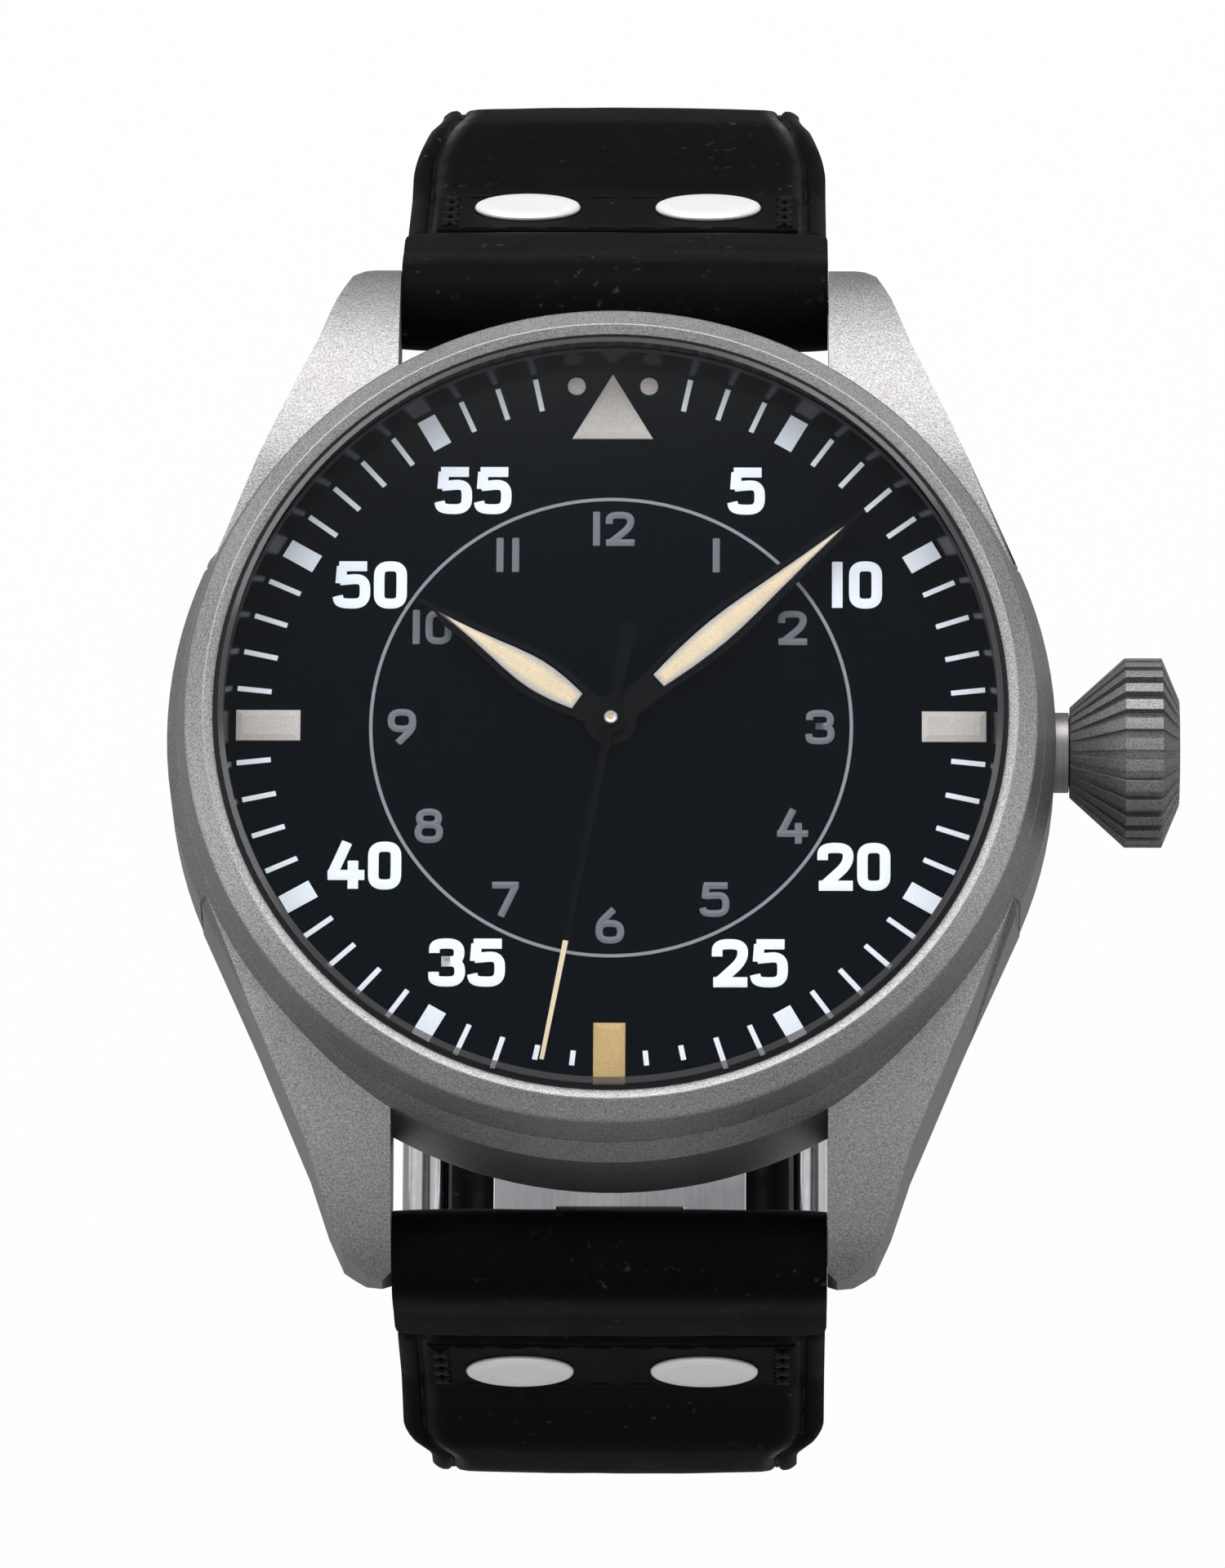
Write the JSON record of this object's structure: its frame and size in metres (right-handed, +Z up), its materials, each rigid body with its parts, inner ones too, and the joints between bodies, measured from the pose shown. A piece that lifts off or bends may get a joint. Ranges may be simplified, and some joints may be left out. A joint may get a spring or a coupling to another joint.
{
  "type": "pilot watch",
  "caption": "Automatic pilot watch: blasted grey case, fluted crown, black dial with minute numerals, riveted leather strap and folding clasp.",
  "frame": {"origin": "centre of the back window's outer face, on the case's axis", "axes": "+Z up through the dial, +Y towards twelve o'clock, +X towards the crown at three o'clock"},
  "size_m": [0.049, 0.0728, 0.0623],
  "materials": {
    "blasted_titanium": "bead-blasted matte grey titanium",
    "polished_steel": "polished stainless steel",
    "brushed_steel": "brushed stainless steel",
    "sapphire": "clear sapphire crystal, polished",
    "black_rubber": "matte black rubber",
    "dial_black": "fine matte black lacquer",
    "print_white": "matte white print",
    "aged_lume": "matte beige luminous filling",
    "hand_black": "matte black lacquer",
    "rhodium_plate": "rhodium plated, striped and grained",
    "blued_steel": "heat-blued steel",
    "ruby": "polished synthetic ruby",
    "gilt_brass": "gilt brass",
    "heavy_metal": "brushed tungsten alloy",
    "black_leather": "black calfskin with a soft sheen"
  },
  "bodies": {
    "case": {"case_middle": "blasted_titanium", "crown_tube": "polished_steel", "bezel": "blasted_titanium", "bezel_gasket": "black_rubber", "crystal": "sapphire", "crystal_gasket": "black_rubber", "flange_ring": "dial_black", "case_back": "blasted_titanium", "back_gasket": "black_rubber", "back_crystal": "sapphire", "dial": "dial_black", "dial_print": "print_white", "lume_markers": "aged_lume", "movement_ring": "rhodium_plate", "mainplate": "rhodium_plate", "barrel_bridge": "rhodium_plate", "train_bridge": "rhodium_plate", "balance_bridge": "rhodium_plate", "bridge_screws": "blued_steel", "bridge_jewels": "ruby", "rotor_bearing": "polished_steel", "casing_clamps": "rhodium_plate", "upper_spring_bar": "polished_steel", "lower_spring_bar": "polished_steel"},
    "upper_left_tip": {"upper_left_tip": "polished_steel"},
    "upper_right_tip": {"upper_right_tip": "polished_steel"},
    "lower_left_tip": {"lower_left_tip": "polished_steel"},
    "lower_right_tip": {"lower_right_tip": "polished_steel"},
    "winding_works": {"winding_pinion": "polished_steel", "sliding_pinion": "polished_steel"},
    "crown": {"crown": "blasted_titanium", "crown_gasket": "black_rubber", "winding_stem": "polished_steel"},
    "minute_hand": {"minute_hand": "hand_black", "minute_hand_lume": "aged_lume", "cannon_pinion": "gilt_brass"},
    "minute_wheel": {"minute_wheel": "gilt_brass"},
    "hour_hand": {"hour_hand": "hand_black", "hour_hand_lume": "aged_lume", "hour_wheel": "gilt_brass"},
    "seconds_hand": {"seconds_hand": "hand_black", "seconds_arbor": "gilt_brass"},
    "rotor": {"rotor_plate": "rhodium_plate", "rotor_weight": "heavy_metal"},
    "balance": {"balance_wheel": "gilt_brass", "hairspring": "blued_steel"},
    "lower_strap": {"strap_lower": "black_leather", "lower_sleeve": "black_leather", "lower_rivets": "polished_steel", "clasp_cover": "polished_steel", "cover_pin": "polished_steel"},
    "upper_strap": {"strap_upper": "black_leather", "upper_sleeve": "black_leather", "upper_rivets": "polished_steel", "base_leaf": "brushed_steel", "strap_bar": "polished_steel", "leaf_pin": "polished_steel"},
    "middle_leaf": {"middle_leaf": "brushed_steel"},
    "pusher_left": {"pusher_left": "polished_steel"},
    "pusher_right": {"pusher_right": "polished_steel"}
  },
  "joints": [
    {"name": "lower_strap_swing", "type": "hinge", "parent": "case", "child": "lower_strap", "pos_m": [0, -0.0244, 0.0017], "axis": [-1, 0, 0], "range_deg": [0, 55]},
    {"name": "upper_strap_swing", "type": "hinge", "parent": "case", "child": "upper_strap", "pos_m": [0, 0.0244, 0.0017], "axis": [1, 0, 0], "range_deg": [0, 27.6]},
    {"name": "middle_leaf_fold", "type": "hinge", "parent": "upper_strap", "child": "middle_leaf", "pos_m": [0, -0.00986, -0.04374], "axis": [-1, 0, 0], "range_deg": [0, 71.6]},
    {"name": "left_pusher_press", "type": "slide", "parent": "lower_strap", "child": "pusher_left", "axis": [1, 0, 0], "range_m": [0, 0.0006], "stiffness_N_per_m": 800},
    {"name": "right_pusher_press", "type": "slide", "parent": "lower_strap", "child": "pusher_right", "axis": [-1, 0, 0], "range_m": [0, 0.0006], "stiffness_N_per_m": 800},
    {"name": "crown_turn", "type": "hinge", "parent": "case", "child": "winding_works", "pos_m": [0, 0, 0.0055], "axis": [1, 0, 0], "continuous": true},
    {"name": "crown_pull", "type": "slide", "parent": "winding_works", "child": "crown", "axis": [1, 0, 0], "range_m": [0, 0.0028]},
    {"name": "minute_hand_turn", "type": "hinge", "parent": "case", "child": "minute_hand", "pos_m": [0, 0, 0.009], "axis": [0, 0, -1], "continuous": true},
    {"name": "minute_wheel_turn", "type": "hinge", "parent": "case", "child": "minute_wheel", "pos_m": [0.00246, 0.00172, 0.0083], "axis": [0, 0, -1], "continuous": true},
    {"name": "hour_hand_turn", "type": "hinge", "parent": "case", "child": "hour_hand", "pos_m": [0, 0, 0.009], "axis": [0, 0, -1], "continuous": true},
    {"name": "seconds_hand_turn", "type": "hinge", "parent": "case", "child": "seconds_hand", "pos_m": [0, 0, 0.01], "axis": [0, 0, -1], "continuous": true},
    {"name": "rotor_spin", "type": "hinge", "parent": "case", "child": "rotor", "pos_m": [0, 0, 0.002], "axis": [0, 0, 1], "continuous": true},
    {"name": "balance_swing", "type": "hinge", "parent": "case", "child": "balance", "pos_m": [-0.00636, -0.00706, 0.005], "axis": [0, 0, 1], "range_deg": [-270, 270], "stiffness_Nm_per_rad": 0.0000006, "deforming": ["hairspring"]},
    {"name": "upper_left_tip_press", "type": "slide", "parent": "case", "child": "upper_left_tip", "axis": [1, 0, 0], "range_m": [0, 0.0012], "stiffness_N_per_m": 600},
    {"name": "upper_right_tip_press", "type": "slide", "parent": "case", "child": "upper_right_tip", "axis": [-1, 0, 0], "range_m": [0, 0.0012], "stiffness_N_per_m": 600},
    {"name": "lower_left_tip_press", "type": "slide", "parent": "case", "child": "lower_left_tip", "axis": [1, 0, 0], "range_m": [0, 0.0012], "stiffness_N_per_m": 600},
    {"name": "lower_right_tip_press", "type": "slide", "parent": "case", "child": "lower_right_tip", "axis": [-1, 0, 0], "range_m": [0, 0.0012], "stiffness_N_per_m": 600}
  ],
  "couplings": [
    {"joint": "upper_strap_swing", "follows": "lower_strap_swing", "ratio": 0.5},
    {"joint": "middle_leaf_fold", "follows": "lower_strap_swing", "ratio": 1.3},
    {"joint": "minute_wheel_turn", "follows": "minute_hand_turn", "ratio": -0.33333},
    {"joint": "hour_hand_turn", "follows": "minute_hand_turn", "ratio": 0.083333}
  ]
}
